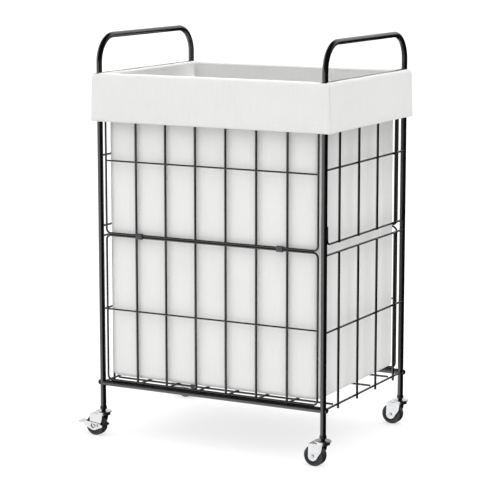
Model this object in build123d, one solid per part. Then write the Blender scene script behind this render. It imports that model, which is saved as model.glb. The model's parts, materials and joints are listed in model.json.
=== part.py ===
from build123d import *
import math
import os

# Rolling laundry hamper: a wire and tube frame on four swivel casters, with a lift-out
# fabric liner whose cuff folds over the rim. Millimetres, +Z up, -Y is the front.
# The origin is on the floor, in the middle of the four legs.

os.makedirs("parts", exist_ok=True)

# ---- Driving dimensions ----------------------------------------------------------------

# Tube frame
LEG_X = 212.5             # leg axes, half the spacing left to right
LEG_Y = 157.5             # leg axes, half the spacing front to back
TUBE_R = 5.0
TUBE_BORE = 4.0
HANDLE_Z = 695.0          # axis of the handle's top bar
HANDLE_BEND = 45.0
LEG_JOINT_Z = 360.6       # where the handle frame plugs into the lower legs
LEG_BOTTOM_Z = 50.0
SPIGOT_R = 3.95
SPIGOT_BORE = 3.0
SPIGOT_LENGTH = 25.0
NECK_LENGTH = 2.0         # the swaged step between the tube and its spigot
NECK_WALL = 0.5           # how far the step lies inside the tube's outside
RAIL_LOW_Z = 95.0
RAIL_HIGH_Z = 619.5

# Bolts that pass through a leg into a threaded insert in the rail's end
BOLT_R = 2.45
BOLT_HOLE_R = 2.7
BOLT_HEAD_R = 4.5
BOLT_HEAD_T = 3.4
BOLT_CROWN = 0.6          # share of the head's height that is rounded
BOLT_SOCKET = 3.0         # across the flats
BOLT_SOCKET_DEPTH = 2.0
BOLT_TIP_X = 192.0
DRILL_REACH = 20.0        # half the length of a hole cutter through a leg
RAIL_INSERT_R = 3.95
RAIL_INSERT_X = (190.0, 203.0)
RAIL_OVERLAP = 1.2        # a rail runs this close to the leg axes before it is coped

# Wires
FRAME_WIRE_R = 1.8
UPRIGHT_R = 2.1
MID_WIRE_R = 1.5
PANEL_X = 201.4           # side wires of the front and back panels
PANEL_CORNER = 8.0
PANEL_JOINT_Z = 357.25    # the two panels of one side touch here
PANEL_UPRIGHT_X = (28.8, 86.3, 143.9)
UPRIGHT_INSET = 3.0       # the uprights stand this far behind the frame wires
UPRIGHT_PAST = 1.1        # and run this far past them
MID_WIRE_INSET = 0.3
LOWER_MID_Z = 226.5
UPPER_MID_Z = 484.0
SIDE_WIRE_X = 214.5
SIDE_UPRIGHT_X = 217.7
SIDE_UPRIGHT_Y = (37.3, 112.0)
LOWER_SIDE_Z = (95.0, 223.6, 352.0)
UPPER_SIDE_Z = (369.3, 491.4, 613.5)
SIDE_UPRIGHT_FOOT_Z = 89.5
SIDE_UPRIGHT_PAST = 1.0
TURN_UP = 30.0            # height of the upper side grid's turned-up ends
TURN_BEND = 9.0
WELD_DEPTH = 0.3          # how far a wire sinks into the leg that it is welded along
GRID_X = 208.0
GRID_Y = LEG_Y - TUBE_R - FRAME_WIRE_R
GRID_CORNER = 9.0
GRID_CROSS_Z = 98.0       # the front-to-back wires lie on the left-to-right ones
GRID_CROSS_PAST = 0.8

# Clips that hold an upper panel to a lower one
CLIP_X = (-136.0, 132.0)
CLIP_WIDTH = 11.0
CLIP_WALL = 1.3
CLIP_PLAY = 0.05
CLIP_ROUND = 1.6
CLIP_MOUTH = (4.0, 3.6)   # depth and height of its opening
CLIP_MOUTH_AT = 2.5

# Liner
BAG_X = 201.0
BAG_Y = 149.8
BAG_BOTTOM_Z = 107.0
RIM_Z = 631.0
FABRIC_T = 1.2
CUFF_X = 223.4
CUFF_Y = 165.6
CUFF_T = 1.6
CUFF_BOTTOM_Z = 551.0
SLOT_X = (206.5, 218.5)   # slots in the rim for the two handle frames
SLOT_Y = 163.3
CORNER_R = 3.0

# Caster, measured from its own stem axis, with the wheel trailing towards -X
WHEEL_R = 18.0
WHEEL_W = 15.0
TRAIL = 14.0
CORE_R = 14.2
CORE_W = 13.0
CORE_RIM = 2.4
CORE_RECESS = 2.2
TREAD_ROUND = 2.0
WHEEL_BORE = 2.05
AXLE_R = 2.0
AXLE_HEAD_R = 3.0
AXLE_HEAD_T = 1.2
HUB_R = 4.8
HUB_W = 18.2
HUB_WALL = 1.2
CHEEK_IN = 9.4
CHEEK_T = 1.5
CHEEK_END_R = 8.2
FORK_TOP_Z = (37.4, 39.2)
FORK_REAR_X = -21.5
FORK_REAR_LEAN = 0.7      # the rear edge leans out by this much at the axle
FORK_FRONT_X = 3.0
FORK_FRONT_LEAN = 1.5
FORK_SHOULDER_Z = 34.2
FORK_WAIST_Z = 26.6
WAIST_R = 1.0
RIVET_FIT = 0.02
RACE_R = 11.9
RACE_TOP_Z = 40.4
RACE_LIP_R = 10.2         # inside of the lip that hides the balls
RACE_LIP_Z = 42.6
BALL_R = 1.25
BALL_RING_R = 8.5
BALL_COUNT = 9
DISH_R = 14.0
DISH_SKIRT_R = 12.5
DISH_Z = (42.2, 43.0, 44.3)    # foot of its skirt, underside and top of its roof
DISH_ROUND = 0.9
KINGPIN_R = 3.5
KINGPIN_HEAD_R = 5.2
KINGPIN_HEAD_Z = (35.4, 37.1)
RUNNING = 0.05
STEM_R = 2.95
STEM_TOP_Z = 68.0
INSERT_TOP_Z = 72.0
INSERT_COLLAR_R = 5.9
INSERT_COLLAR_Z = (47.6, 52.5)
INSERT_NECK_R = 3.9       # the narrow foot that stands on the dish
INSERT_ROUND = 0.5

# Toe brake on the two left casters
PIVOT_X = -6.5
PIVOT_Z = 18.8
PIVOT_R = 1.5
PIVOT_HEAD_R = 2.5
PIVOT_HEAD_T = 0.9
RIVET_CROWN = 0.6         # share of a rivet head's height that is rounded
RIVET_STANDOFF = 0.1
LEVER_IN = 11.2
LEVER_T = 1.2
LEVER_TILT = 5.9          # how far the released lever slopes up, in degrees
LEVER_TOP = 4.4           # the arms are cut off level this far above the pivot
BOSS_MARGIN = 0.4         # the arms' round boss is this much larger than the fork's end
NOSE = (8.5, 0.3)         # the arms' front tip, from the pivot
NOSE_R = 2.0
SHOE_REACH = 25.9         # from the pivot to the face that meets the tread
SHOE_Z = (-3.1, 3.5)
HEEL = (4.0, 7.0)         # length and height of the arms' rear end
PEDAL_REACH = 41.5
PEDAL_Z = -1.6
PEDAL_CORNER = 4.0
PEDAL_NARROWER = 4.0
AXLE_WINDOW_R = 5.0

# Cutting tools
CUT_PAST = 1.0            # how far a cutter runs past the face it opens
SLOT_CUT_H = 10.0
LEG_CUT_H = 2000.0

LEFT_RIGHT = (("left", -1), ("right", 1))
FRONT_BACK = (("front", -1), ("back", 1))
CORNERS = [
    (f"{fb}_{lr}", sx * LEG_X, sy * LEG_Y)
    for fb, sy in FRONT_BACK
    for lr, sx in LEFT_RIGHT
]
BRAKED = ("front_left", "back_left")


# ---- Helpers ---------------------------------------------------------------------------

def rod(start, end, radius):
    """A round bar from one point to another."""
    path = Line(start, end)
    plane = Plane(origin=path @ 0, z_dir=path % 0)
    return extrude(plane * Circle(radius), (Vector(*end) - Vector(*start)).length)


def ring_rod(start, end, radius, bore):
    return rod(start, end, radius) - rod(start, end, bore)


def bent_wire(points, bend, radius):
    """A round wire that follows the points, with its corners bent to one radius."""
    path = FilletPolyline(*points, radius=bend)
    return sweep(Plane(origin=path @ 0, z_dir=path % 0) * Circle(radius), path=path)


def closed_frame(place, half_x, low, high, bend, radius):
    """A closed rectangle of round wire with bent corners, from two U halves.

    place turns (across, along) into a point in space."""
    halves = []
    for side in (-1, 1):
        corners = [(0, low), (side * half_x, low), (side * half_x, high), (0, high)]
        halves.append(bent_wire([place(a, b) for a, b in corners], bend, radius))
    return fused(halves)


def fused(shapes):
    whole = shapes[0]
    for shape in shapes[1:]:
        whole = whole + shape
    return whole


def leg_cutters():
    return [
        Pos(x, y, 0) * Cylinder(TUBE_R, LEG_CUT_H)
        for _, x, y in CORNERS
    ]


def without_legs(shape):
    """Cuts the shape's ends back to the round faces of the legs it is welded to."""
    for cutter in leg_cutters():
        shape = shape - cutter
    return shape


def save(shape, name):
    export_step(shape, f"parts/{name}.step")


# ---- Tube frame ------------------------------------------------------------------------

def bolt_hole(x, y, z):
    return rod((x - DRILL_REACH, y, z), (x + DRILL_REACH, y, z), BOLT_HOLE_R)


def handle_frame(sx):
    """One side's inverted U, whose two ends neck down into spigots for the lower legs."""
    x = sx * LEG_X
    corners = [
        (x, -LEG_Y, LEG_JOINT_Z), (x, -LEG_Y, HANDLE_Z), (x, LEG_Y, HANDLE_Z), (x, LEG_Y, LEG_JOINT_Z),
    ]
    outside = bent_wire(corners, HANDLE_BEND, TUBE_R)
    inside = bent_wire(corners, HANDLE_BEND, TUBE_BORE)
    tube = outside - inside
    for y in (-LEG_Y, LEG_Y):
        spigot_foot = LEG_JOINT_Z - SPIGOT_LENGTH
        neck_top = LEG_JOINT_Z + NECK_LENGTH
        tube += ring_rod((x, y, spigot_foot), (x, y, neck_top), SPIGOT_R, SPIGOT_BORE)
        tube += ring_rod((x, y, LEG_JOINT_Z), (x, y, neck_top), TUBE_R - NECK_WALL, SPIGOT_BORE)
        tube -= bolt_hole(x, y, RAIL_HIGH_Z)
    return tube


def lower_leg(x, y):
    leg = ring_rod((x, y, LEG_BOTTOM_Z), (x, y, LEG_JOINT_Z), TUBE_R, TUBE_BORE)
    return leg - bolt_hole(x, y, RAIL_LOW_Z)


def rail(sy, z):
    """A tube from leg to leg, with its ends coped to fit round the legs."""
    reach = LEG_X - RAIL_OVERLAP
    y = sy * LEG_Y
    return without_legs(ring_rod((-reach, y, z), (reach, y, z), TUBE_R, TUBE_BORE))


def rail_bolt(sx, y, z):
    face = sx * (LEG_X + TUBE_R)
    tip = sx * BOLT_TIP_X
    shank = rod((tip, y, z), (face, y, z), BOLT_R)
    head = rod((face, y, z), (face + sx * BOLT_HEAD_T, y, z), BOLT_HEAD_R)
    crown = head.edges().sort_by(Axis.X)[-1 if sx > 0 else 0]
    head = fillet(crown, BOLT_HEAD_T * BOLT_CROWN)
    socket_plane = Plane(origin=(face + sx * BOLT_HEAD_T, y, z), z_dir=(-sx, 0, 0))
    hexagon = RegularPolygon(BOLT_SOCKET / 2, 6, major_radius=False)
    socket = extrude(socket_plane * hexagon, BOLT_SOCKET_DEPTH)
    return shank + head - socket


def rail_insert(sx, y, z):
    near, far = (sx * x for x in RAIL_INSERT_X)
    return ring_rod((near, y, z), (far, y, z), RAIL_INSERT_R, BOLT_R + RUNNING)


# ---- Wire work -------------------------------------------------------------------------

def wire_panel(sy, low, high, mid):
    """A front or back panel: closed frame wire, six uprights behind it, one thin cross wire."""
    y = sy * LEG_Y
    upright_y = sy * (LEG_Y - UPRIGHT_INSET)
    mid_y = sy * (LEG_Y - MID_WIRE_INSET)
    pieces = [closed_frame(lambda a, b: (a, y, b), PANEL_X, low, high, PANEL_CORNER, FRAME_WIRE_R)]
    for x in PANEL_UPRIGHT_X:
        for side in (-1, 1):
            start = (side * x, upright_y, low - UPRIGHT_PAST)
            end = (side * x, upright_y, high + UPRIGHT_PAST)
            pieces.append(rod(start, end, UPRIGHT_R))
    pieces.append(rod((-PANEL_X, mid_y, mid), (PANEL_X, mid_y, mid), MID_WIRE_R))
    return fused(pieces)


def side_uprights(sx, low, high):
    x = sx * SIDE_UPRIGHT_X
    return [
        rod((x, side * y, low), (x, side * y, high), UPRIGHT_R)
        for y in SIDE_UPRIGHT_Y
        for side in (-1, 1)
    ]


def lower_side_grid(sx):
    x = sx * SIDE_WIRE_X
    pieces = [rod((x, -LEG_Y, z), (x, LEG_Y, z), FRAME_WIRE_R) for z in LOWER_SIDE_Z]
    pieces += side_uprights(sx, SIDE_UPRIGHT_FOOT_Z, LOWER_SIDE_Z[-1] + SIDE_UPRIGHT_PAST)
    return without_legs(fused(pieces))


def upper_side_grid(sx):
    """Its bottom wire turns up at both ends and lies along the legs."""
    x = sx * SIDE_WIRE_X
    bottom, middle, top = UPPER_SIDE_Z
    turn_y = LEG_Y - TUBE_R - FRAME_WIRE_R + WELD_DEPTH
    turn_top = bottom + TURN_UP
    turned = [(x, -turn_y, turn_top), (x, -turn_y, bottom), (x, turn_y, bottom), (x, turn_y, turn_top)]
    pieces = [bent_wire(turned, TURN_BEND, FRAME_WIRE_R)]
    pieces += [rod((x, -LEG_Y, z), (x, LEG_Y, z), FRAME_WIRE_R) for z in (middle, top)]
    pieces += side_uprights(sx, bottom - SIDE_UPRIGHT_PAST, top + SIDE_UPRIGHT_PAST)
    return without_legs(fused(pieces))


def bottom_grid():
    border = closed_frame(lambda a, b: (a, b, RAIL_LOW_Z), GRID_X, -GRID_Y, GRID_Y, GRID_CORNER, FRAME_WIRE_R)
    pieces = [border]
    for y in SIDE_UPRIGHT_Y:
        for side in (-1, 1):
            pieces.append(rod((-GRID_X, side * y, RAIL_LOW_Z), (GRID_X, side * y, RAIL_LOW_Z), FRAME_WIRE_R))
    reach = GRID_Y + GRID_CROSS_PAST
    for x in PANEL_UPRIGHT_X:
        for side in (-1, 1):
            pieces.append(rod((side * x, -reach, GRID_CROSS_Z), (side * x, reach, GRID_CROSS_Z), FRAME_WIRE_R))
    return fused(pieces)


def panel_clip(sy, x):
    """A C of sprung plastic round the two frame wires, open towards the inside."""
    y = sy * LEG_Y
    hole_r = FRAME_WIRE_R + CLIP_PLAY
    hole_h = 2 * FRAME_WIRE_R + 2 * hole_r
    plane = Plane(origin=(x - CLIP_WIDTH / 2, y, PANEL_JOINT_Z), x_dir=(0, 1, 0), z_dir=(1, 0, 0))
    outer = plane * RectangleRounded(2 * (hole_r + CLIP_WALL), hole_h + 2 * CLIP_WALL, CLIP_ROUND)
    hole = plane * SlotOverall(hole_h, 2 * hole_r, rotation=90)
    mouth = plane * Pos(-sy * CLIP_MOUTH_AT, 0) * Rectangle(*CLIP_MOUTH)
    return extrude(outer - hole - mouth, CLIP_WIDTH)


# ---- Liner -----------------------------------------------------------------------------

def block(half_x, half_y, low, high, corner):
    return Pos(0, 0, low) * extrude(RectangleRounded(2 * half_x, 2 * half_y, corner), high - low)


def liner_bag():
    outside = block(BAG_X, BAG_Y, BAG_BOTTOM_Z, RIM_Z, CORNER_R)
    low = BAG_BOTTOM_Z + FABRIC_T
    inside = block(BAG_X - FABRIC_T, BAG_Y - FABRIC_T, low, RIM_Z + CUT_PAST, CORNER_R - FABRIC_T)
    return outside - inside


def liner_cuff():
    """The rim and the band that hangs outside it, with one long slot for each handle frame."""
    outside = block(CUFF_X, CUFF_Y, CUFF_BOTTOM_Z, RIM_Z, CORNER_R)
    low = CUFF_BOTTOM_Z - CUT_PAST
    under_rim = block(CUFF_X - CUFF_T, CUFF_Y - CUFF_T, low, RIM_Z - CUFF_T, CORNER_R - CUFF_T)
    bag_space = block(BAG_X, BAG_Y, low, RIM_Z + CUT_PAST, CORNER_R)
    cuff = outside - under_rim - bag_space
    slot_in, slot_out = SLOT_X
    for _, sx in LEFT_RIGHT:
        centre = sx * (slot_in + slot_out) / 2
        cuff -= Pos(centre, 0, RIM_Z) * Box(slot_out - slot_in, 2 * SLOT_Y, SLOT_CUT_H)
    return cuff


# ---- Casters ---------------------------------------------------------------------------

def leg_insert():
    low, high = INSERT_COLLAR_Z
    foot = DISH_Z[-1]
    collar = rod((0, 0, low), (0, 0, high), INSERT_COLLAR_R)
    collar = fillet(collar.edges().sort_by(Axis.Z)[-1], INSERT_ROUND)
    collar -= rod((0, 0, LEG_BOTTOM_Z), (0, 0, high + CUT_PAST), TUBE_R)
    neck = rod((0, 0, foot), (0, 0, low), INSERT_NECK_R)
    plug = rod((0, 0, low), (0, 0, INSERT_TOP_Z), TUBE_BORE - RUNNING)
    bore = rod((0, 0, foot - CUT_PAST), (0, 0, STEM_TOP_Z + CUT_PAST), STEM_R + RUNNING)
    return fused([collar, neck, plug]) - bore


def stem_and_dish():
    """Threaded stem, fixed upper race and the kingpin that the fork hangs and turns on."""
    skirt_z, roof_z, top_z = DISH_Z
    head_low, head_high = KINGPIN_HEAD_Z
    dish = rod((0, 0, skirt_z), (0, 0, top_z), DISH_R)
    dish = fillet(dish.edges().sort_by(Axis.Z)[-1], DISH_ROUND)
    dish -= rod((0, 0, skirt_z - CUT_PAST), (0, 0, roof_z), DISH_SKIRT_R)
    stem = rod((0, 0, top_z), (0, 0, STEM_TOP_Z), STEM_R)
    kingpin = rod((0, 0, head_low), (0, 0, roof_z), KINGPIN_R)
    head = rod((0, 0, head_low), (0, 0, head_high), KINGPIN_HEAD_R)
    return dish + stem + kingpin + head


def bearing_balls():
    height = RACE_TOP_Z + BALL_R + RUNNING
    return [
        Pos(BALL_RING_R * math.cos(turn), BALL_RING_R * math.sin(turn), height) * Sphere(BALL_R)
        for turn in (2 * math.pi * n / BALL_COUNT for n in range(BALL_COUNT))
    ]


def cheek_outline():
    """The side of the fork: a plate that narrows from the top down to a round end at the axle."""
    top = FORK_TOP_Z[1]
    waist_x = FORK_FRONT_X - FORK_FRONT_LEAN
    upper = Polygon(
        (FORK_REAR_X, top), (FORK_REAR_X - FORK_REAR_LEAN, WHEEL_R), (-TRAIL, WHEEL_R),
        (waist_x, FORK_WAIST_Z), (FORK_FRONT_X, FORK_SHOULDER_Z), (FORK_FRONT_X, top),
        align=None,
    )
    end = Pos(-TRAIL, WHEEL_R) * Circle(CHEEK_END_R)
    waist = Pos(waist_x - WAIST_R, FORK_WAIST_Z) * Circle(WAIST_R)
    return upper + end + make_hull(end.edges() + waist.edges())


def fork(braked):
    low, high = FORK_TOP_Z
    outline = cheek_outline() - Pos(-TRAIL, WHEEL_R) * Circle(AXLE_R + RIVET_FIT)
    if braked:
        outline -= Pos(PIVOT_X, PIVOT_Z) * Circle(PIVOT_R + RIVET_FIT)
    width = 2 * (CHEEK_IN + CHEEK_T)
    top_plate = Pos((FORK_REAR_X + FORK_FRONT_X) / 2, 0, low) * extrude(
        Rectangle(FORK_FRONT_X - FORK_REAR_X, width), high - low
    )
    body = top_plate + rod((0, 0, low), (0, 0, RACE_TOP_Z), RACE_R)
    body += ring_rod((0, 0, RACE_TOP_Z), (0, 0, RACE_LIP_Z), RACE_R, RACE_LIP_R)
    for side in (-1, 1):
        inner = side * CHEEK_IN
        plane = Plane(origin=(0, inner, 0), x_dir=(1, 0, 0), z_dir=(0, -1, 0))
        body += extrude(plane * outline, -side * CHEEK_T)
    return body - rod((0, 0, low - CUT_PAST), (0, 0, RACE_LIP_Z), KINGPIN_R + RUNNING)


def cross_pin(x, z, inner, outer, radius, head_r, head_t, side):
    shank = rod((x, side * inner, z), (x, side * outer, z), radius)
    head = rod((x, side * outer, z), (x, side * (outer + head_t), z), head_r)
    crown = head.edges().sort_by(Axis.Y)[-1 if side > 0 else 0]
    return shank + fillet(crown, head_t * RIVET_CROWN)


def axle():
    outer = CHEEK_IN + CHEEK_T
    ends = [cross_pin(-TRAIL, WHEEL_R, 0, outer, AXLE_R, AXLE_HEAD_R, AXLE_HEAD_T, s) for s in (-1, 1)]
    return ends[0] + ends[1]


def wheel_core():
    centre = Plane(origin=(-TRAIL, 0, WHEEL_R), z_dir=(0, 1, 0))
    core = extrude(centre * Circle(CORE_R), CORE_W / 2, both=True)
    core += extrude(centre * Circle(HUB_R), HUB_W / 2, both=True)
    recess = Circle(CORE_R - CORE_RIM) - Circle(HUB_R + HUB_WALL)
    for side in (-1, 1):
        face = Plane(origin=(-TRAIL, side * CORE_W / 2, WHEEL_R), z_dir=(0, -side, 0))
        core -= extrude(face * recess, CORE_RECESS)
    return core - extrude(centre * Circle(WHEEL_BORE), HUB_W, both=True)


def tyre():
    """Tread ring with rounded shoulders."""
    centre = Plane(origin=(-TRAIL, 0, WHEEL_R), z_dir=(0, 1, 0))
    ring = extrude(centre * Circle(WHEEL_R), WHEEL_W / 2, both=True)
    ring = fillet(ring.edges(), TREAD_ROUND)
    return ring - extrude(centre * Circle(CORE_R), WHEEL_W, both=True)


def lever_arm():
    """One arm of the brake lever, drawn level with the pivot at the origin."""
    axle_x = -TRAIL - PIVOT_X
    axle_z = WHEEL_R - PIVOT_Z
    boss = Pos(axle_x, axle_z) * Circle(CHEEK_END_R + BOSS_MARGIN)
    nose = Pos(*NOSE) * Circle(NOSE_R)
    heel = Pos(-SHOE_REACH - LEVER_T + HEEL[0] / 2, 0) * Rectangle(*HEEL)
    arm = make_hull(boss.edges() + nose.edges()) + make_hull(boss.edges() + heel.edges())
    arm -= Pos(axle_x, LEVER_TOP + CHEEK_END_R) * Rectangle(2 * PEDAL_REACH, 2 * CHEEK_END_R)
    return arm - Pos(axle_x, axle_z) * Circle(AXLE_WINDOW_R) - Circle(PIVOT_R + RUNNING)


def brake_lever():
    """Stamped toe brake that straddles the fork: two arms, a shoe across the tread, a pedal.

    It is drawn level about its pivot and then tilted to its released position."""
    arm = lever_arm()
    plates = []
    for side in (-1, 1):
        plane = Plane(origin=(0, side * LEVER_IN, 0), x_dir=(1, 0, 0), z_dir=(0, -1, 0))
        plates.append(extrude(plane * arm, -side * LEVER_T))
    width = 2 * (LEVER_IN + LEVER_T)
    shoe_low, shoe_high = SHOE_Z
    shoe_at = Pos(-SHOE_REACH - LEVER_T / 2, 0, (shoe_low + shoe_high) / 2)
    shoe = shoe_at * Box(LEVER_T, width, shoe_high - shoe_low)
    span = PEDAL_REACH - SHOE_REACH
    sketch = Pos(-SHOE_REACH - span / 2, 0) * RectangleRounded(span, width - PEDAL_NARROWER, PEDAL_CORNER)
    pedal = Pos(0, 0, PEDAL_Z) * extrude(sketch, LEVER_T)
    lever = fused([*plates, shoe, pedal])
    return Pos(PIVOT_X, 0, PIVOT_Z) * Rot(0, LEVER_TILT, 0) * lever


def brake_pivots():
    outer = LEVER_IN + LEVER_T + RIVET_STANDOFF
    return [
        cross_pin(PIVOT_X, PIVOT_Z, CHEEK_IN, outer, PIVOT_R, PIVOT_HEAD_R, PIVOT_HEAD_T, side)
        for side in (-1, 1)
    ]


# ---- Assembly --------------------------------------------------------------------------

def write_frame():
    for lr, sx in LEFT_RIGHT:
        save(handle_frame(sx), f"{lr}_handle_frame")
        save(lower_side_grid(sx), f"{lr}_lower_side_grid")
        save(upper_side_grid(sx), f"{lr}_upper_side_grid")
        bolts = [rail_bolt(sx, sy * LEG_Y, z) for _, sy in FRONT_BACK for z in (RAIL_LOW_Z, RAIL_HIGH_Z)]
        save(Compound(children=bolts), f"{lr}_rail_bolts")
    for fb, sy in FRONT_BACK:
        save(rail(sy, RAIL_LOW_Z), f"{fb}_bottom_rail")
        save(rail(sy, RAIL_HIGH_Z), f"{fb}_top_rail")
        low = RAIL_LOW_Z + TUBE_R + FRAME_WIRE_R
        high = RAIL_HIGH_Z - TUBE_R - FRAME_WIRE_R
        save(wire_panel(sy, low, PANEL_JOINT_Z - FRAME_WIRE_R, LOWER_MID_Z), f"{fb}_lower_wire_panel")
        save(wire_panel(sy, PANEL_JOINT_Z + FRAME_WIRE_R, high, UPPER_MID_Z), f"{fb}_upper_wire_panel")
        save(Compound(children=[panel_clip(sy, x) for x in CLIP_X]), f"{fb}_panel_clips")
    inserts = [
        rail_insert(sx, sy * LEG_Y, z)
        for _, sx in LEFT_RIGHT
        for _, sy in FRONT_BACK
        for z in (RAIL_LOW_Z, RAIL_HIGH_Z)
    ]
    save(Compound(children=inserts), "rail_thread_inserts")
    save(bottom_grid(), "bottom_wire_grid")


def write_casters():
    balls = []
    for name, x, y in CORNERS:
        place = Pos(x, y, 0)
        save(lower_leg(x, y), f"{name}_lower_leg")
        save(place * leg_insert(), f"{name}_leg_insert")
        save(place * stem_and_dish(), f"{name}_caster_stem")
        save(place * fork(name in BRAKED), f"{name}_caster_fork")
        save(place * axle(), f"{name}_axle")
        save(place * wheel_core(), f"{name}_wheel_core")
        save(place * tyre(), f"{name}_tyre")
        balls += [place * ball for ball in bearing_balls()]
        if name in BRAKED:
            save(place * brake_lever(), f"{name}_brake_lever")
            save(Compound(children=[place * pin for pin in brake_pivots()]), f"{name}_brake_pivots")
    save(Compound(children=balls), "swivel_bearing_balls")


def main():
    write_frame()
    write_casters()
    save(liner_bag(), "liner_bag")
    save(liner_cuff(), "liner_cuff")


main()
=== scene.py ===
import json
import math

import bmesh
import bpy
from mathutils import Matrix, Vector, noise


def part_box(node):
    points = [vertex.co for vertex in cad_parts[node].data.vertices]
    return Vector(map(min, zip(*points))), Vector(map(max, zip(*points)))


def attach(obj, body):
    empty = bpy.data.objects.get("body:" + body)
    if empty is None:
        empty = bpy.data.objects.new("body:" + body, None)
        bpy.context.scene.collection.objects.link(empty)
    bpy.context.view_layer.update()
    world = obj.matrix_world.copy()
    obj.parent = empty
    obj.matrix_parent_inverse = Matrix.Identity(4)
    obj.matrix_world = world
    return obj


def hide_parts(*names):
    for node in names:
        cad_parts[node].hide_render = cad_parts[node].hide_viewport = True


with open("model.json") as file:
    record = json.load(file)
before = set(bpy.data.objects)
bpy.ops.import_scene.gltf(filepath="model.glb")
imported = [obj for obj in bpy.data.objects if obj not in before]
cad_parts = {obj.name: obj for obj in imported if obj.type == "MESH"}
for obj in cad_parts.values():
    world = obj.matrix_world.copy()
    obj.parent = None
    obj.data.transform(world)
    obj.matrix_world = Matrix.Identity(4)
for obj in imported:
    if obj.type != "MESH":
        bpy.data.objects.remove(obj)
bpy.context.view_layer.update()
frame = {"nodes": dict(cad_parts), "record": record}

# Looks for a rolling laundry hamper. Metres, in the CAD frame: +Z up, -Y is the front.

MM = 0.001

# ---- Camera ----------------------------------------------------------------------------

CAMERA_PLACE = (1.5906, -3.0104, 0.8987)
CAMERA_TURN = 27.955          # degrees round Z, from looking along +Y
CAMERA_DIP = 9.623            # degrees below the horizon
CAMERA_LENS = 142.85          # millimetres
CAMERA_SENSOR = 36.0
CAMERA_CLIP = (0.05, 200.0)


def make_camera():
    data = bpy.data.cameras.new("camera")
    data.lens = CAMERA_LENS
    data.sensor_width = CAMERA_SENSOR
    data.clip_start, data.clip_end = CAMERA_CLIP
    camera = bpy.data.objects.new("camera", data)
    camera.location = CAMERA_PLACE
    camera.rotation_euler = (math.radians(90 - CAMERA_DIP), 0, math.radians(CAMERA_TURN))
    bpy.context.scene.collection.objects.link(camera)
    bpy.context.scene.camera = camera


# ---- Materials -------------------------------------------------------------------------
# Noise scales are per metre, and bump distances are in metres.

class Nodes:
    """A node tree, with short calls for the nodes that the finishes and the world share."""

    def __init__(self, tree, coordinate):
        self.nodes = tree.nodes
        self.links = tree.links
        self.where = self.nodes.new("ShaderNodeTexCoord").outputs[coordinate]

    def join(self, source, node, name):
        self.links.new(source, node.inputs[name])

    def math(self, how, *values):
        node = self.nodes.new("ShaderNodeMath")
        node.operation = how
        for socket, value in zip(node.inputs, values):
            if isinstance(value, (int, float)):
                socket.default_value = value
            else:
                self.links.new(value, socket)
        return node.outputs[0]

    def smooth(self, source, start, end, low=0.0, high=1.0):
        """Eases from low to high while the source goes from start to end."""
        node = self.nodes.new("ShaderNodeMapRange")
        node.interpolation_type = "SMOOTHSTEP"
        self.join(source, node, "Value")
        for name, value in (("From Min", start), ("From Max", end), ("To Min", low), ("To Max", high)):
            node.inputs[name].default_value = value
        return node.outputs["Result"]

    def axes(self):
        split = self.nodes.new("ShaderNodeSeparateXYZ")
        self.join(self.where, split, "Vector")
        return split.outputs


class Graph(Nodes):
    """A material with a Principled shader."""

    def __init__(self, name):
        self.material = bpy.data.materials.new(name)
        self.material.use_nodes = True
        super().__init__(self.material.node_tree, "Object")
        self.shader = next(n for n in self.nodes if n.type == "BSDF_PRINCIPLED")

    def set(self, **values):
        for name, value in values.items():
            self.shader.inputs[name.replace("_", " ")].default_value = value

    def to_shader(self, source, name):
        self.links.new(source, self.shader.inputs[name])

    def noise(self, scale, detail=3.0, rough=0.5, stretch=None):
        node = self.nodes.new("ShaderNodeTexNoise")
        node.inputs["Scale"].default_value = scale
        node.inputs["Detail"].default_value = detail
        node.inputs["Roughness"].default_value = rough
        place = self.where
        if stretch:
            mapping = self.nodes.new("ShaderNodeMapping")
            mapping.inputs["Scale"].default_value = stretch
            self.join(self.where, mapping, "Vector")
            place = mapping.outputs["Vector"]
        self.join(place, node, "Vector")
        return node.outputs["Fac"]

    def ramp(self, source, low, high, at=(0.3, 0.7)):
        """Spreads a 0 to 1 value between two numbers or two colours."""
        node = self.nodes.new("ShaderNodeValToRGB")
        for stop, place, value in zip(node.color_ramp.elements, at, (low, high)):
            stop.position = place
            stop.color = (*value, 1) if isinstance(value, tuple) else (value, value, value, 1)
        self.join(source, node, "Fac")
        return node.outputs["Color"]

    def bump(self, height, distance, strength=1.0, under=None):
        node = self.nodes.new("ShaderNodeBump")
        node.inputs["Distance"].default_value = distance
        node.inputs["Strength"].default_value = strength
        self.join(height, node, "Height")
        if under is not None:
            self.join(under, node, "Normal")
        return node.outputs["Normal"]


def powder_coat(name, tone=1.0):
    """Black powder coat: low sheen, a fine orange peel and slight unevenness."""
    g = Graph(name)
    cloud = g.noise(22, 4)
    g.to_shader(g.ramp(cloud, 0.0010 * tone, 0.0026 * tone), "Base Color")
    g.to_shader(g.ramp(g.noise(60, 5), 0.20, 0.28), "Roughness")
    g.set(Specular_IOR_Level=0.9)
    peel = g.noise(1500, 2)
    g.to_shader(g.bump(peel, 0.00006, 0.35), "Normal")
    return g.material


PLASTIC_SPREAD = (0.85, 1.15)  # how far the tone strays either way


def moulded_plastic(name, colour, rough=(0.38, 0.5)):
    """Moulded plastic: slightly uneven tone and gloss, and a fine mould texture."""
    g = Graph(name)
    low, high = (tuple(c * share for c in colour) for share in PLASTIC_SPREAD)
    g.to_shader(g.ramp(g.noise(90, 4), low, high), "Base Color")
    g.to_shader(g.ramp(g.noise(240, 3), *rough), "Roughness")
    g.to_shader(g.bump(g.noise(2600, 2), 0.00004, 0.3), "Normal")
    return g.material


ZINC_DULL = (0.90, 0.905, 0.92)
ZINC_CLEAR = (1.04, 1.045, 1.06)


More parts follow.
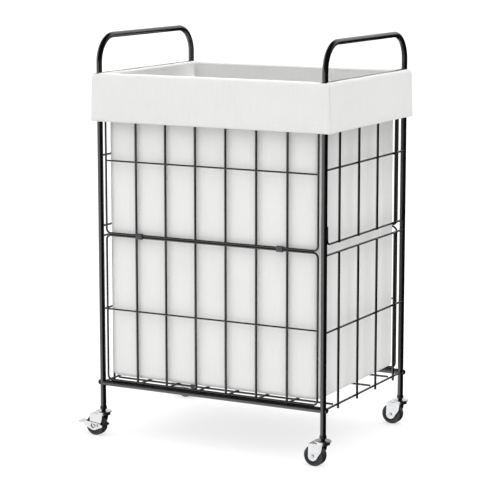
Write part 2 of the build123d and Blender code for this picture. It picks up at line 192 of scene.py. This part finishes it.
def zinc_plate(name, bright=0.56):
    """Bright zinc on pressed steel: slight cloudiness and faint drawing lines."""
    g = Graph(name)
    cloud = g.noise(140, 5, 0.6)
    low, high = (tuple(bright * c for c in tint) for tint in (ZINC_DULL, ZINC_CLEAR))
    g.to_shader(g.ramp(cloud, low, high), "Base Color")
    g.to_shader(g.ramp(g.noise(320, 4), 0.20, 0.34), "Roughness")
    g.set(Metallic=1.0)
    lines = g.noise(420, 2, stretch=(1, 1, 9))
    g.to_shader(g.bump(lines, 0.00005, 0.25), "Normal")
    return g.material


TREAD_DARK = (0.012, 0.012, 0.0125)
TREAD_PALE = (0.022, 0.022, 0.023)


def tread_rubber(name):
    """Matt rubber with a dusty, lightly grained surface."""
    g = Graph(name)
    g.to_shader(g.ramp(g.noise(160, 5), TREAD_DARK, TREAD_PALE), "Base Color")
    g.to_shader(g.ramp(g.noise(500, 3), 0.42, 0.58), "Roughness")
    g.to_shader(g.bump(g.noise(1900, 4), 0.00012, 0.5), "Normal")
    return g.material


WEAVE_PITCH = 0.9 * MM
BAG_WHITE = (0.735, 0.733, 0.726)
CUFF_WHITE = (0.685, 0.683, 0.677)
THREAD_WHITE = (0.80, 0.798, 0.79)
CLOTH_SPREAD = (0.955, 1.03)
SLUB_SHARE, CLOUD_SHARE = 0.6, 0.4


def fabric(name, colour):
    """Plain-woven polyester: fine over-and-under threads, slubs and a soft nap."""
    g = Graph(name)
    x, y, z = g.axes()
    turns = 2 * math.pi / WEAVE_PITCH
    wave = {k: g.math("SINE", g.math("MULTIPLY", v, turns)) for k, v in (("x", x), ("y", y), ("z", z))}
    across = g.math("ADD", g.math("MULTIPLY", wave["x"], wave["z"]), g.math("MULTIPLY", wave["y"], wave["z"]))
    weave = g.math("ADD", across, g.math("MULTIPLY", wave["x"], wave["y"]))
    weave = g.math("MULTIPLY_ADD", weave, 0.5, 0.5)
    slub = g.noise(260, 4, 0.6, stretch=(1, 1, 0.12))
    cloud = g.noise(9, 3)
    low, high = (tuple(c * share for c in colour) for share in CLOTH_SPREAD)
    slubs = g.math("MULTIPLY", slub, SLUB_SHARE)
    tone = g.math("ADD", slubs, g.math("MULTIPLY", cloud, CLOUD_SHARE))
    g.to_shader(g.ramp(tone, low, high, at=(0.25, 0.75)), "Base Color")
    g.to_shader(g.ramp(g.noise(700, 2), 0.82, 0.95), "Roughness")
    g.set(Specular_IOR_Level=0.25, Sheen_Weight=0.12, Sheen_Roughness=0.5)
    crumple = g.bump(g.noise(38, 4, 0.55), 0.0012, 0.35)
    g.to_shader(g.bump(weave, 0.00012, 0.45, under=crumple), "Normal")
    return g.material


FLOOR_GLOW = 0.62


def floor_finish(name):
    """Pale seamless paper, lit evenly from beneath so that only faint contact shadows show."""
    g = Graph(name)
    g.to_shader(g.ramp(g.noise(0.6, 2), 0.35, 0.37), "Base Color")
    g.set(Roughness=0.8, Specular_IOR_Level=0.1, Emission_Color=(1, 1, 1, 1), Emission_Strength=FLOOR_GLOW)
    return g.material


# ---- Mesh helpers ----------------------------------------------------------------------

def new_piece(name, vertices, faces, material, smooth=True):
    mesh = bpy.data.meshes.new(name)
    mesh.from_pydata([tuple(v) for v in vertices], [], faces)
    mesh.validate()
    mesh.materials.append(material)
    mesh.polygons.foreach_set("use_smooth", [smooth] * len(mesh.polygons))
    mesh.update()
    piece = bpy.data.objects.new(name, mesh)
    bpy.context.scene.collection.objects.link(piece)
    return piece


def applied(piece, kind, **settings):
    """Adds one modifier, applies it and leaves a plain mesh."""
    modifier = piece.modifiers.new(kind.lower(), kind)
    for key, value in settings.items():
        setattr(modifier, key, value)
    graph = bpy.context.evaluated_depsgraph_get()
    done = bpy.data.meshes.new_from_object(piece.evaluated_get(graph))
    piece.modifiers.clear()
    old = piece.data
    piece.data = done
    bpy.data.meshes.remove(old)
    piece.data.name = piece.name


def smooth_step(t):
    t = min(1.0, max(0.0, t))
    return t * t * (3 - 2 * t)


SMOOTH_ANGLE = math.radians(32)
CLOTH_ANGLE = math.radians(55)


def shade(node, limit=SMOOTH_ANGLE):
    """Smooth shading with crisp edges where two faces turn by more than the limit."""
    mesh = node.data
    mesh.polygons.foreach_set("use_smooth", [True] * len(mesh.polygons))
    normals = [p.normal.copy() for p in mesh.polygons]
    faces_of = {}
    for p in mesh.polygons:
        for key in p.edge_keys:
            faces_of.setdefault(key, []).append(p.index)
    for edge in mesh.edges:
        joined = faces_of.get(edge.key, [])
        if len(joined) == 2:
            a, b = (normals[i] for i in joined)
            edge.use_edge_sharp = a.length > 0 and b.length > 0 and a.angle(b) > limit
        else:
            edge.use_edge_sharp = True


# ---- Liner -----------------------------------------------------------------------------

FABRIC_T = 1.2 * MM
STEP = 5.0 * MM
CORNER_STEPS = 8
BAG_CORNER_TOP = 3.0 * MM      # the bag's corners are tight at the rim and rounder below
BAG_CORNER_LOW = 11.0 * MM
CUFF_CORNER = 2.2 * MM
BOTTOM_ROUND = 7.0 * MM
BOTTOM_SAG = 4.0 * MM
SAG_EVEN = 0.85
CUFF_FLARE = 1.4 * MM
CUFF_CORNER_FLARE = 1.6 * MM
CUFF_CORNER_REACH = 40 * MM
HEM_TURN = 14.0 * MM
RIM_SEAM = 4.0 * MM            # the cuff is sewn to the bag edge to edge, this far below the rim
SEAM_GAP = 0.05 * MM
STITCH_UP = 10.0 * MM
SEAM_IN = 4.5 * MM             # the corner seams lie this far round from the cuff's corners

bag_low, bag_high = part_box("liner_bag")
cuff_low, cuff_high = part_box("liner_cuff")
BAG_X, BAG_Y = bag_high.x, bag_high.y
BAG_Z = bag_low.z
RIM_Z = cuff_high.z
CUFF_X, CUFF_Y = cuff_high.x, cuff_high.y
CUFF_Z = cuff_low.z
SIDE_STEPS = (int(2 * BAG_X / STEP), int(2 * BAG_Y / STEP))
SLOT_X = (BAG_X + 5.5 * MM, BAG_X + 17.5 * MM)
SLOT_END_Y = CUFF_Y - 2.1 * MM
SLOT_SLACK = (0.5 * MM, 0.2 * MM)     # at its inner and outer edges
SLOT_DEPTH = 1 * MM

FOLD_SPACING = 74.7 * MM       # soft vertical folds on the left and right walls
FOLD_SHIFT = -22.0 * MM
FOLD_HALF = 6.5 * MM
FOLD_DEPTH = 2.8 * MM
FOLD_LEAN = 1.5 * MM
FOLD_FADE = 0.25
WALL_HOLLOW = 1.0 * MM         # how far the front and back walls sink in the middle
FREE_TOP, FREE_FOOT = 6, 12    # a wall hangs free below this share of its height, and above it

# Unevenness of the cloth: height, wave length and seed
WALL_WAVE = (1.3 * MM, 0.085, 3.1)
WALL_RIPPLE = (0.6 * MM, 0.03, 8.7)
CUFF_WAVE = (0.9 * MM, 0.11, 5.5)
CUFF_RIPPLE = (0.35 * MM, 0.04, 2.2)
RIM_WAVE = (0.5 * MM, 0.06, 7.7)
FLOOR_WAVE = (0.3, 0.09, 1.3)

# How far the side walls bow in beside each of the bag's corners: (left or right, front or back)
CORNER_BOW = {(-1, 1): 17.0 * MM, (1, 1): 6.0 * MM, (-1, -1): 5.0 * MM, (1, -1): 2.5 * MM}
BOW_START = 14.0 * MM
BOW_WIDTH = 75.0 * MM
BOW_DROP = 58.0 * MM
BOW_HOLD = 110.0 * MM
BOW_FADE = 170.0 * MM


def ring(half_x, half_y, radius):
    """Points round a rounded rectangle, the same count and order at any size.

    Each entry is (x, y, side, outward x, outward y)."""
    radius = min(radius, half_x * 0.999, half_y * 0.999)
    long_steps, short_steps = SIDE_STEPS
    sides = (
        ("front", (0, -1), (1, 0), half_x, half_y, long_steps),
        ("right", (1, 0), (0, 1), half_y, half_x, short_steps),
        ("back", (0, 1), (-1, 0), half_x, half_y, long_steps),
        ("left", (-1, 0), (0, -1), half_y, half_x, short_steps),
    )
    points = []
    for name, out, along, half_along, half_out, steps in sides:
        straight = half_along - radius
        for n in range(steps):
            s = -straight + 2 * straight * n / steps
            points.append((
                out[0] * half_out + along[0] * s, out[1] * half_out + along[1] * s, name, out[0], out[1],
            ))
        centre = (
            out[0] * (half_out - radius) + along[0] * straight,
            out[1] * (half_out - radius) + along[1] * straight,
        )
        for n in range(CORNER_STEPS):
            turn = math.pi / 2 * n / CORNER_STEPS
            ox = out[0] * math.cos(turn) + along[0] * math.sin(turn)
            oy = out[1] * math.cos(turn) + along[1] * math.sin(turn)
            points.append((centre[0] + ox * radius, centre[1] + oy * radius, "corner", ox, oy))
    return points


def soft_noise(x, y, z, wave):
    height, length, seed = wave
    return height * noise.noise(Vector((x / length + seed, y / length, z / length)))


def corner_bow(x, y, z):
    """Tight at the rim, the side walls bow in below it and leave a groove at each corner."""
    depth = CORNER_BOW[(1 if x > 0 else -1, 1 if y > 0 else -1)]
    away = BAG_Y - abs(y)
    near = smooth_step(away / BOW_START) * (1 - smooth_step((away - BOW_START) / BOW_WIDTH))
    drop = RIM_Z - z
    return depth * near * smooth_step(drop / BOW_DROP) * (1 - smooth_step((drop - BOW_HOLD) / BOW_FADE))


def wall_push(x, y, z, side):
    """How far the hanging wall stands out from flat, in metres."""
    depth = (RIM_Z - z) / (RIM_Z - BAG_Z)
    free = smooth_step(depth * FREE_TOP) * smooth_step((1 - depth) * FREE_FOOT)
    push = soft_noise(x, y, z * 0.28, WALL_WAVE) + soft_noise(x, y, z * 0.5, WALL_RIPPLE)
    if side in ("left", "right"):
        for n in range(-2, 3):
            middle = FOLD_SPACING * (n + 0.5) + FOLD_SHIFT
            lean = FOLD_LEAN * math.sin(z * 9 + n * 1.7)
            away = (y - middle - lean) / FOLD_HALF
            fade = 1 - FOLD_FADE + FOLD_FADE * math.sin(z * 14 + n * 2.3)
            push -= FOLD_DEPTH * fade * math.exp(-away * away)
    else:
        reach = x / BAG_X
        push -= WALL_HOLLOW * math.cos(reach * math.pi / 2) * math.sin(depth * math.pi)
    return push * free - (corner_bow(x, y, z) if side in ("left", "right") else 0.0)


def cuff_push(x, y, drop):
    """drop is 0 at the rim and 1 at the hem. The cuff kicks out a little more at its corners."""
    ripple = soft_noise(x, y, 0.0, CUFF_WAVE) + soft_noise(x, y, 0.0, CUFF_RIPPLE)
    to_corner = math.hypot(CUFF_X - abs(x), CUFF_Y - abs(y))
    kick = CUFF_CORNER_FLARE * (1 - smooth_step(to_corner / CUFF_CORNER_REACH))
    return (CUFF_FLARE + kick * drop + ripple) * drop


FLOOR_RINGS = 15
TURN_STEPS = 6
TIGHTEN_FROM, TIGHTEN_OVER = 0.10, 0.09    # below the rim, where the bag's corners draw in


def bag_levels():
    """The bag's section, from its floor up to the rim.

    Each level is (half_x, half_y, z, corner radius, kind, share)."""
    half = FABRIC_T / 2
    bx, by = BAG_X - half, BAG_Y - half
    levels = []
    for n in range(1, FLOOR_RINGS):
        s = n / FLOOR_RINGS
        levels.append((bx * s, by * s, BAG_Z + half, BAG_CORNER_LOW * s, "floor", s))
    for n in range(TURN_STEPS + 1):
        turn = math.pi / 2 * n / TURN_STEPS
        inset = BOTTOM_ROUND * (1 - math.sin(turn))
        z = BAG_Z + half + BOTTOM_ROUND * (1 - math.cos(turn))
        levels.append((bx - inset, by - inset, z, BAG_CORNER_LOW, "turn", n / TURN_STEPS))
    wall_foot = BAG_Z + half + BOTTOM_ROUND
    wall_top = RIM_Z - RIM_SEAM - SEAM_GAP
    count = int((wall_top - wall_foot) / STEP)
    for n in range(1, count + 1):
        z = wall_foot + (wall_top - wall_foot) * n / count
        tight = smooth_step((z - (RIM_Z - TIGHTEN_FROM)) / TIGHTEN_OVER)
        corner = BAG_CORNER_LOW + (BAG_CORNER_TOP - BAG_CORNER_LOW) * tight
        levels.append((bx, by, z, corner, "wall", n / count))
    return levels


# The rim's section, in millimetres: outward from the bag along X and Y, and up from the rim
RIM_SECTION = (
    (0.0, 0.0, -4.0), (0.1, 0.1, -2.2), (0.6, 0.5, -0.8), (1.8, 1.5, 0.3), (3.6, 3.0, 1.0), (5.5, 4.6, 1.3),
    (9.5, 7.6, 1.6), (13.5, 10.6, 1.6), (17.5, 13.7, 1.3), (19.8, 14.7, 0.6), (21.4, 15.3, -0.8),
    (22.1, 15.6, -2.6),
)
RIM_REACH = 22.4
CUFF_TOP_DROP = 6.0 * MM
CUFF_STEP = 4 * MM
HEM_FOLD_IN = 1.1 * MM
HEM_FOLD_DEEP = 1.2 * MM
HEM_FOLD_STEPS = 4
HEM_STEPS = 3
HEM_SHARE = 0.17               # how much of the cuff's drop the turned hem climbs


def cuff_levels():
    """The cuff's section, from the seam in the bag over the rim, down outside and round its hem."""
    half = FABRIC_T / 2
    bx, by = BAG_X - half, BAG_Y - half
    levels = []
    for dx, dy, dz in RIM_SECTION:
        share = dx / RIM_REACH
        corner = BAG_CORNER_TOP + (CUFF_CORNER - BAG_CORNER_TOP) * share
        levels.append((bx + dx * MM, by + dy * MM, RIM_Z + dz * MM, corner, "rim", share))
    cx, cy = CUFF_X - half, CUFF_Y - half
    cuff_top = RIM_Z - CUFF_TOP_DROP
    foot = CUFF_Z + half
    fold = foot + HEM_FOLD_DEEP
    count = int((cuff_top - foot) / CUFF_STEP)
    for n in range(count + 1):
        drop = n / count
        levels.append((cx, cy, cuff_top + (fold - cuff_top) * drop, CUFF_CORNER, "cuff", drop))
    for n in range(1, HEM_FOLD_STEPS + 1):
        turn = math.pi * n / HEM_FOLD_STEPS
        inset = HEM_FOLD_IN * (1 - math.cos(turn))
        z = fold - HEM_FOLD_DEEP * math.sin(turn)
        levels.append((cx - inset, cy - inset, z, CUFF_CORNER, "cuff", 1.0))
    inset = 2 * HEM_FOLD_IN
    for n in range(1, HEM_STEPS + 1):
        z = fold + HEM_TURN * n / HEM_STEPS
        levels.append((cx - inset, cy - inset, z, CUFF_CORNER, "hem", 1 - HEM_SHARE * n / HEM_STEPS))
    return levels


def liner_point(point, level):
    x, y, side, ox, oy = point
    _, _, z, _, kind, share = level
    if kind == "floor":
        sag = (1 - share * share) * BOTTOM_SAG
        z -= sag * (SAG_EVEN + soft_noise(x, y, 0.0, FLOOR_WAVE))
        return (x, y, z)
    if kind in ("wall", "turn"):
        push = wall_push(x, y, z, side)
    elif kind in ("cuff", "hem"):
        push = cuff_push(x, y, share)
    else:
        push = 0.0
        z += soft_noise(x, y, 0.0, RIM_WAVE) * smooth_step(share * 8)
    return (x + ox * push, y + oy * push, z)


def in_slot(corners):
    """True for a face of the rim that the handle frames pass through."""
    x = sum(abs(c[0]) for c in corners) / len(corners)
    y = sum(abs(c[1]) for c in corners) / len(corners)
    z = min(c[2] for c in corners)
    across = SLOT_X[0] - SLOT_SLACK[0] < x < SLOT_X[1] + SLOT_SLACK[1]
    return across and z > RIM_Z - SLOT_DEPTH and y < SLOT_END_Y


def make_shell(name, levels, material):
    """Skins the levels with cloth. A bag's first level closes to a point in the floor's middle."""
    rows = [[liner_point(p, level) for p in ring(*level[:2], level[3])] for level in levels]
    width = len(rows[0])
    vertices = [p for row in rows for p in row]
    faces = []
    for r in range(len(rows) - 1):
        low, high = r * width, (r + 1) * width
        rim_band = levels[r][4] == "rim" and levels[r + 1][4] == "rim"
        for n in range(width):
            m = (n + 1) % width
            face = (low + n, high + n, high + m, low + m)
            if not (rim_band and in_slot([vertices[i] for i in face])):
                faces.append(face)
    if levels[0][4] == "floor":
        middle = len(vertices)
        vertices.append((0.0, 0.0, rows[0][0][2] - 0.1 * MM))
        faces += [(middle, n, (n + 1) % width) for n in range(width)]
    shell = new_piece(name, vertices, faces, material)
    applied(shell, "SOLIDIFY", thickness=FABRIC_T, offset=0.0, use_even_offset=True)
    shade(shell, CLOTH_ANGLE)
    return shell


STITCH_PITCH = 4.2 * MM
STITCH_LONG = 2.7 * MM
STITCH_R = 0.32 * MM
STITCH_PROUD = 0.25 * STITCH_R
STITCH_SIDES = 6
STITCH_ENDS = 4.0 * MM         # how far a row stops short of the cuff's corners
COLUMN_DROP = 8.0 * MM         # and a column short of the rim
STITCH_PROFILE = ((-0.7, 0.3), (0.35, 0.9), (0.7, 1.0), (0.35, 0.9), (-0.7, 0.3))  # lift and size


def stitch(middle, along, out):
    """One thread stitch: a small arched capsule that dips into the cloth at both ends."""
    up = along.cross(out).normalized()
    rings = []
    for n, (lift, size) in enumerate(STITCH_PROFILE):
        centre = middle + along * (STITCH_LONG * (n / 4 - 0.5)) + out * (STITCH_R * lift)
        rings.append([
            centre + (out * math.cos(a) + up * math.sin(a)) * STITCH_R * size
            for a in (2 * math.pi / STITCH_SIDES * k for k in range(STITCH_SIDES))
        ])
    return rings


def make_stitching(material):
    """The row of stitches that holds the cuff's hem, and a column beside each of its corners."""
    vertices, faces = [], []

    def add(middle, along, out):
        start = len(vertices)
        rings = stitch(Vector(middle), Vector(along), Vector(out))
        for r in rings:
            vertices.extend(r)
        for r in range(len(rings) - 1):
            first = start + r * STITCH_SIDES
            for k in range(STITCH_SIDES):
                a, b = first + k, first + (k + 1) % STITCH_SIDES
                faces.append((a, b, b + STITCH_SIDES, a + STITCH_SIDES))
        faces.append(tuple(start + k for k in reversed(range(STITCH_SIDES))))
        last = start + (len(rings) - 1) * STITCH_SIDES
        faces.append(tuple(last + k for k in range(STITCH_SIDES)))

    z = CUFF_Z + STITCH_UP
    drop = 1 - STITCH_UP / (RIM_Z - CUFF_Z)
    for axis, half_along, half_out in ((0, CUFF_X, CUFF_Y), (1, CUFF_Y, CUFF_X)):
        reach = half_along - STITCH_ENDS
        count = int(2 * reach / STITCH_PITCH)
        for side in (-1, 1):
            for n in range(count + 1):
                s = -reach + 2 * reach * n / count
                flat = (s, side * half_out) if axis == 0 else (side * half_out, s)
                push = cuff_push(*flat, drop) + STITCH_PROUD
                out = (0, side, 0) if axis == 0 else (side, 0, 0)
                along = (1, 0, 0) if axis == 0 else (0, 1, 0)
                add((flat[0] + out[0] * push, flat[1] + out[1] * push, z), along, out)
    tall = RIM_Z - COLUMN_DROP - (z + STITCH_PITCH)
    rows = int(tall / STITCH_PITCH)
    for sx in (-1, 1):
        for sy in (-1, 1):
            for n in range(rows + 1):
                height = z + STITCH_PITCH + tall * n / rows
                at_y = sy * (CUFF_Y - SEAM_IN)
                push = cuff_push(sx * CUFF_X, at_y, (RIM_Z - height) / (RIM_Z - CUFF_Z))
                add((sx * (CUFF_X + push + STITCH_PROUD), at_y, height), (0, 0, 1), (sx, 0, 0))
    return new_piece("cuff_stitching", vertices, faces, material)


WELT_HALF = 1.2 * MM
WELT_RISE = 0.8 * MM
WELT_SUNK = 0.4 * MM           # its foot lies this far inside the cloth
WELT_TOP = 5 * MM              # from the rim down to its top
WELT_FOOT = 0.8 * MM           # and from the hem up to its foot
WELT_IN = 1.9 * MM             # from the cuff's corner to the middle of its seam
WELT_STEPS = 24
WELT_ROUND = 6


def make_welts(material):
    """The raised seams down the cuff's four corners, where its front and side panels join."""
    vertices, faces = [], []
    top, foot = RIM_Z - WELT_TOP, CUFF_Z + WELT_FOOT
    for sx in (-1, 1):
        for sy in (-1, 1):
            start = len(vertices)
            for n in range(WELT_STEPS + 1):
                z = top + (foot - top) * n / WELT_STEPS
                for k in range(WELT_ROUND + 1):
                    turn = math.pi * k / WELT_ROUND
                    y = sy * (CUFF_Y - WELT_IN + WELT_HALF * math.cos(turn))
                    push = cuff_push(sx * CUFF_X, y, (RIM_Z - z) / (RIM_Z - CUFF_Z))
                    rise = WELT_RISE * math.sin(turn) - WELT_SUNK
                    vertices.append((sx * (CUFF_X + push + rise), y, z))
            across = WELT_ROUND + 1
            for n in range(WELT_STEPS):
                for k in range(across):
                    a, b = start + n * across + k, start + n * across + (k + 1) % across
                    faces.append((a, b, b + across, a + across))
            faces.append(tuple(start + k for k in reversed(range(across))))
            faces.append(tuple(start + WELT_STEPS * across + k for k in range(across)))
    welts = new_piece("cuff_corner_seams", vertices, faces, material)
    mend = bmesh.new()
    mend.from_mesh(welts.data)
    bmesh.ops.recalc_face_normals(mend, faces=mend.faces)
    mend.to_mesh(welts.data)
    mend.free()
    return welts


# ---- Finishes for the CAD nodes --------------------------------------------------------

def finish_nodes():
    slots = {s["node"]: s["material_slot"] for s in frame["record"]["subparts"]}
    finishes = {
        "powder_coat": powder_coat("black_powder_coat"),
        "black_bolts": powder_coat("black_bolt_finish", 1.6),
        "clip_plastic": moulded_plastic("clip_plastic", (0.035, 0.035, 0.042), (0.25, 0.35)),
        "insert_plastic": moulded_plastic("insert_plastic", (0.003, 0.003, 0.0035)),
        "zinc_plate": zinc_plate("bright_zinc"),
        "bare_steel": zinc_plate("plated_steel", 0.45),
        "wheel_plastic": moulded_plastic("wheel_plastic", (0.004, 0.004, 0.0045), (0.3, 0.45)),
        "tread": tread_rubber("tread_rubber"),
    }
    for name, node in frame["nodes"].items():
        finish = finishes.get(slots.get(name))
        if finish is None:
            continue
        node.data.materials.clear()
        node.data.materials.append(finish)
        shade(node)


# ---- Stage -----------------------------------------------------------------------------

def area_light(name, place, aim, size, power):
    data = bpy.data.lights.new(name, "AREA")
    data.shape = "RECTANGLE"
    data.size, data.size_y = size
    data.energy = power
    light = bpy.data.objects.new(name, data)
    light.location = place
    light.rotation_euler = (Vector(aim) - Vector(place)).to_track_quat("-Z", "Y").to_euler()
    bpy.context.scene.collection.objects.link(light)


SOFT_LEFT = (-0.55, -0.835)    # the side that the broad soft light comes from
GLOSS_LEFT = (-0.883, -0.469)  # the side of the long softbox that the tubes mirror
SURROUND = (0.575, 0.65)       # away from the soft side and towards it
SURROUND_TOP = 2.15
LEFT_BOX, TOP_BOX, ROOM_GLOSS = 1.6, 1.2, 0.02


def make_world():
    """A white studio: an even surround, a brighter top and left, and softboxes for the gloss."""
    world = bpy.data.worlds.new("studio")
    world.use_nodes = True
    world.cycles.sampling_method = "NONE"
    tree = world.node_tree
    w = Nodes(tree, "Generated")
    x, y, z = w.axes()
    toward = w.math("ADD", w.math("MULTIPLY", x, SOFT_LEFT[0]), w.math("MULTIPLY", y, SOFT_LEFT[1]))
    overhead = w.smooth(z, 0.35, 0.98, 0.0, SURROUND_TOP)
    surround = w.math("ADD", w.smooth(toward, -0.7, 0.8, *SURROUND), overhead)
    beside = w.math("ADD", w.math("MULTIPLY", x, GLOSS_LEFT[0]), w.math("MULTIPLY", y, GLOSS_LEFT[1]))
    high = w.math("MULTIPLY", w.smooth(x, -0.55, -0.75), w.smooth(z, 0.8, 0.5))
    band = w.math("MAXIMUM", high, w.smooth(z, 0.10, -0.12))
    left_box = w.math("MULTIPLY", w.smooth(beside, 0.03, 0.35), band)
    top_box = w.math("MULTIPLY", w.smooth(y, 0.5, 0.8), w.smooth(z, 0.0, 0.2))
    gloss = w.math("MULTIPLY_ADD", left_box, LEFT_BOX, w.math("MULTIPLY_ADD", top_box, TOP_BOX, ROOM_GLOSS))
    path = w.nodes.new("ShaderNodeLightPath")
    seen = path.outputs["Is Camera Ray"]
    glossy = path.outputs["Is Glossy Ray"]
    matt = w.math("MULTIPLY", w.math("SUBTRACT", 1.0, glossy), surround)
    lit = w.math("ADD", w.math("MULTIPLY", glossy, gloss), matt)
    strength = w.math("ADD", seen, w.math("MULTIPLY", w.math("SUBTRACT", 1.0, seen), lit))
    background = next(n for n in w.nodes if n.type == "BACKGROUND")
    background.inputs["Color"].default_value = (1, 1, 1, 1)
    w.join(strength, background, "Strength")
    bpy.context.scene.world = world


FLOOR_HALF = 30.0
KEY_PLACE = (-2.6, -2.2, 1.5)
KEY_AIM = (0, 0, 0.35)
KEY_SIZE = (1.2, 1.6)
KEY_POWER = 7


def make_stage():
    corners = [(sx * FLOOR_HALF, sy * FLOOR_HALF, 0) for sx, sy in ((-1, -1), (1, -1), (1, 1), (-1, 1))]
    floor = new_piece("floor", corners, [(0, 1, 2, 3)], floor_finish("pale_floor"), smooth=False)
    floor.visible_glossy = False
    make_world()
    area_light("key", KEY_PLACE, KEY_AIM, KEY_SIZE, KEY_POWER)
    view = bpy.context.scene.view_settings
    view.view_transform = "Standard"
    view.look = "None"


# ---- Assembly --------------------------------------------------------------------------

make_camera()
finish_nodes()
bag = make_shell("liner_bag_cloth", bag_levels(), fabric("bag_polyester", BAG_WHITE))
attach(bag, "liner")
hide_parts("liner_bag")
cuff = make_shell("liner_cuff_cloth", cuff_levels(), fabric("cuff_polyester", CUFF_WHITE))
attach(cuff, "liner")
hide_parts("liner_cuff")
stitching = make_stitching(fabric("white_thread", THREAD_WHITE))
welts = make_welts(cuff.data.materials[0])
for piece in (stitching, welts):
    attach(piece, "liner")

make_stage()
